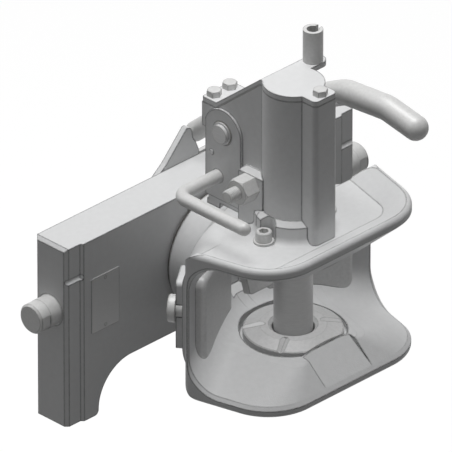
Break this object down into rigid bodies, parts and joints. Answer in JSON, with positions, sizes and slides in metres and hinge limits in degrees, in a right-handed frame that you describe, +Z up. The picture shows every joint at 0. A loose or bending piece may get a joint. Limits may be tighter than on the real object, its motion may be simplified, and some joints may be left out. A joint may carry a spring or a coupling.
{
  "type": "clevis hitch",
  "caption": "Swivelling clevis hitch on a ladder slide plate, with a flared jaw, a lever-lifted coupling pin, a closing handle and sprung lock pins.",
  "frame": {"origin": "coupling point, where the coupling pin's axis meets the axis that the jaw swivels about", "axes": "+X across the slide plate towards the hand lever, the mouth opens towards -Y, +Z up"},
  "size_m": [0.444, 0.3031, 0.38],
  "materials": {
    "casting": "satin grey paint on cast steel",
    "plate": "satin grey paint on machined plate",
    "housing_paint": "satin grey paint on cast iron",
    "sheet": "satin grey paint on bent plate",
    "hardened_steel": "ground and hardened",
    "zinc_steel": "zinc plated",
    "spring_steel": "drawn wire",
    "bush_bronze": "turned bearing bronze",
    "label_plate": "brushed",
    "friction_lining": "moulded friction lining"
  },
  "bodies": {
    "slide": {"slide_plate": "plate", "type_plate": "label_plate", "plate_rivets": "zinc_steel", "swivel_bush": "bush_bronze", "friction_ring": "friction_lining", "lever_retainer": "spring_steel", "lock_spring_left": "spring_steel", "lock_spring_right": "spring_steel"},
    "jaw": {"jaw": "casting", "swivel_shaft": "hardened_steel", "shaft_washer": "zinc_steel", "castle_nut": "zinc_steel", "split_pin": "zinc_steel", "wear_ring": "hardened_steel", "guide_bush": "hardened_steel", "guide_wing_right": "hardened_steel", "guide_wing_left": "hardened_steel", "backing_plates": "plate", "wing_bolts": "zinc_steel", "housing": "housing_paint", "lug_studs": "zinc_steel", "lug_nuts": "zinc_steel", "socket_screws": "zinc_steel", "screw_washers": "zinc_steel", "cover_plate": "sheet", "cover_bolts": "zinc_steel", "cable_tube": "zinc_steel", "shaft_bushes": "bush_bronze", "stop_pin": "spring_steel"},
    "hand_lever": {"lever_shaft": "hardened_steel", "snap_ring": "spring_steel", "crank": "hardened_steel", "hand_lever": "zinc_steel", "torsion_spring": "spring_steel"},
    "coupling_pin": {"coupling_pin": "hardened_steel"},
    "trigger": {"closing_handle": "zinc_steel", "trigger_finger": "hardened_steel"},
    "release_lever": {"release_plate": "plate", "release_pegs": "zinc_steel", "release_grip": "zinc_steel"},
    "lock_pin_left": {"lock_pin_left": "zinc_steel", "lock_stud_left": "zinc_steel", "link_bar_left": "zinc_steel"},
    "lock_pin_right": {"lock_pin_right": "zinc_steel", "lock_stud_right": "zinc_steel", "link_bar_right": "zinc_steel"}
  },
  "joints": [
    {"name": "jaw_swivel", "type": "hinge", "parent": "slide", "child": "jaw", "pos_m": [0, 0, 0], "axis": [0, 1, 0], "range_deg": [-90, 90]},
    {"name": "lever_lift", "type": "hinge", "parent": "jaw", "child": "hand_lever", "pos_m": [0, 0.073, 0.1472], "axis": [-1, 0, 0], "range_deg": [0, 84], "stiffness_Nm_per_rad": 3.5, "springref_deg": -51.57},
    {"name": "pin_lift", "type": "slide", "parent": "jaw", "child": "coupling_pin", "axis": [0, 0, 1], "range_m": [0, 0.1129]},
    {"name": "trigger_turn", "type": "hinge", "parent": "jaw", "child": "trigger", "pos_m": [0, 0.079, 0.098], "axis": [1, 0, 0], "range_deg": [0, 7], "stiffness_Nm_per_rad": 4, "springref_deg": -14.32},
    {"name": "release_turn", "type": "hinge", "parent": "slide", "child": "release_lever", "pos_m": [0, 0.1565, 0], "axis": [0, -1, 0], "range_deg": [0, 23.77]},
    {"name": "lock_left_slide", "type": "slide", "parent": "slide", "child": "lock_pin_left", "axis": [1, 0, 0], "range_m": [0, 0.0251], "stiffness_N_per_m": 1500, "springref_m": -0.02, "deforming": ["lock_spring_left"]},
    {"name": "lock_right_slide", "type": "slide", "parent": "slide", "child": "lock_pin_right", "axis": [-1, 0, 0], "range_m": [0, 0.0251], "stiffness_N_per_m": 1500, "springref_m": -0.02, "deforming": ["lock_spring_right"]}
  ],
  "couplings": [
    {"joint": "pin_lift", "follows": "lever_lift", "m_per_rad": 0.076989},
    {"joint": "lock_left_slide", "follows": "release_turn", "m_per_rad": 0.060235},
    {"joint": "lock_right_slide", "follows": "release_turn", "m_per_rad": 0.060235}
  ]
}
